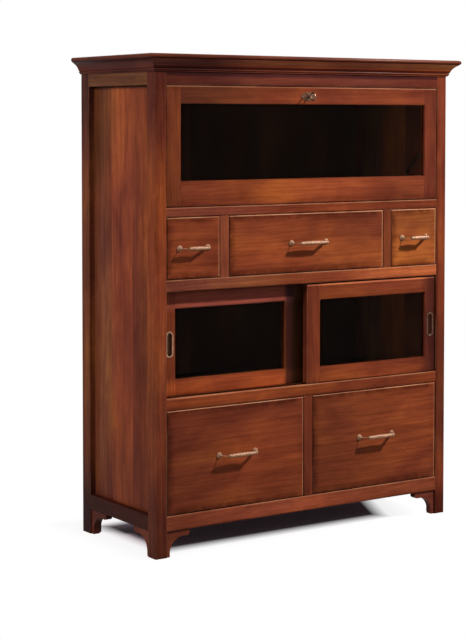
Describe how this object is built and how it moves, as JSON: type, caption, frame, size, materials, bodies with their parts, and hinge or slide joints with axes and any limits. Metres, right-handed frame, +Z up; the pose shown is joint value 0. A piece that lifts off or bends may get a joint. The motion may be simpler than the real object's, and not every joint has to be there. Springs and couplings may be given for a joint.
{
  "type": "bakers cabinet",
  "caption": "Free-standing bakers pantry cabinet with a drop-down glazed flap, sliding glazed doors and drawers, on bracket feet under a moulded cornice.",
  "frame": {"origin": "on the floor, under the middle of the overall box", "axes": "+X to the right seen from the front, +Y from front to back, +Z up"},
  "size_m": [1.154, 0.464, 1.45],
  "materials": {
    "stained_wood": "red-brown stained hardwood, satin varnish",
    "inner_wood": "darker stained inside and back boards, matt",
    "drawer_wood": "paler unstained drawer lining, matt",
    "glass": "clear sheet glass",
    "brass": "lightly worn brass"
  },
  "bodies": {
    "carcass": {"post_front_left": "stained_wood", "post_front_right": "stained_wood", "post_rear_left": "stained_wood", "post_rear_right": "stained_wood", "side_rails": "stained_wood", "side_panel_left": "stained_wood", "side_panel_right": "stained_wood", "top_rail": "stained_wood", "flap_sill_rail": "stained_wood", "door_head_rail": "stained_wood", "door_sill_rail": "stained_wood", "bottom_rail": "stained_wood", "back_rails": "stained_wood", "back_panel": "inner_wood", "upper_dividers": "stained_wood", "lower_divider": "stained_wood", "flap_shelf": "inner_wood", "upper_drawer_floor": "inner_wood", "door_floor": "inner_wood", "bottom_floor": "inner_wood", "top_board": "stained_wood", "cornice_front": "stained_wood", "cornice_left": "stained_wood", "cornice_right": "stained_wood", "foot_brackets": "stained_wood", "door_tracks": "stained_wood", "flap_pivot_pins": "brass", "stay_guides": "brass", "strike_plate": "brass"},
    "flap": {"flap_stiles": "stained_wood", "flap_rails": "stained_wood", "flap_beads": "stained_wood", "flap_glass": "glass", "flap_stays": "brass", "lock_case": "brass", "escutcheon": "brass"},
    "key": {"key": "brass"},
    "lock_bolt": {"lock_bolt": "brass"},
    "left_door": {"left_door_frame": "stained_wood", "left_door_glass": "glass", "left_door_pull": "brass"},
    "right_door": {"right_door_frame": "stained_wood", "right_door_glass": "glass", "right_door_pull": "brass"},
    "drawer_upper_left": {"drawer_upper_left_front": "stained_wood", "drawer_upper_left_box": "drawer_wood", "drawer_upper_left_handle": "brass"},
    "drawer_upper_middle": {"drawer_upper_middle_front": "stained_wood", "drawer_upper_middle_box": "drawer_wood", "drawer_upper_middle_handle": "brass"},
    "drawer_upper_right": {"drawer_upper_right_front": "stained_wood", "drawer_upper_right_box": "drawer_wood", "drawer_upper_right_handle": "brass"},
    "drawer_lower_left": {"drawer_lower_left_front": "stained_wood", "drawer_lower_left_box": "drawer_wood", "drawer_lower_left_handle": "brass"},
    "drawer_lower_right": {"drawer_lower_right_front": "stained_wood", "drawer_lower_right_box": "drawer_wood", "drawer_lower_right_handle": "brass"}
  },
  "joints": [
    {"name": "flap_hinge", "type": "hinge", "parent": "carcass", "child": "flap", "pos_m": [0, -0.192, 1.018], "axis": [1, 0, 0], "range_deg": [0, 90]},
    {"name": "key_turn", "type": "hinge", "parent": "flap", "child": "key", "pos_m": [0, -0.198, 1.332], "axis": [0, -1, 0], "range_deg": [0, 90]},
    {"name": "bolt_slide", "type": "slide", "parent": "flap", "child": "lock_bolt", "axis": [0, 0, 1], "range_m": [0, 0.0065]},
    {"name": "left_door_slide", "type": "slide", "parent": "carcass", "child": "left_door", "axis": [1, 0, 0], "range_m": [0, 0.494]},
    {"name": "right_door_slide", "type": "slide", "parent": "carcass", "child": "right_door", "axis": [-1, 0, 0], "range_m": [0, 0.494]},
    {"name": "drawer_upper_left_slide", "type": "slide", "parent": "carcass", "child": "drawer_upper_left", "axis": [0, -1, 0], "range_m": [0, 0.27]},
    {"name": "drawer_upper_middle_slide", "type": "slide", "parent": "carcass", "child": "drawer_upper_middle", "axis": [0, -1, 0], "range_m": [0, 0.27]},
    {"name": "drawer_upper_right_slide", "type": "slide", "parent": "carcass", "child": "drawer_upper_right", "axis": [0, -1, 0], "range_m": [0, 0.27]},
    {"name": "drawer_lower_left_slide", "type": "slide", "parent": "carcass", "child": "drawer_lower_left", "axis": [0, -1, 0], "range_m": [0, 0.27]},
    {"name": "drawer_lower_right_slide", "type": "slide", "parent": "carcass", "child": "drawer_lower_right", "axis": [0, -1, 0], "range_m": [0, 0.27]}
  ],
  "couplings": [
    {"joint": "key_turn", "follows": "bolt_slide", "rad_per_m": 241.66}
  ]
}
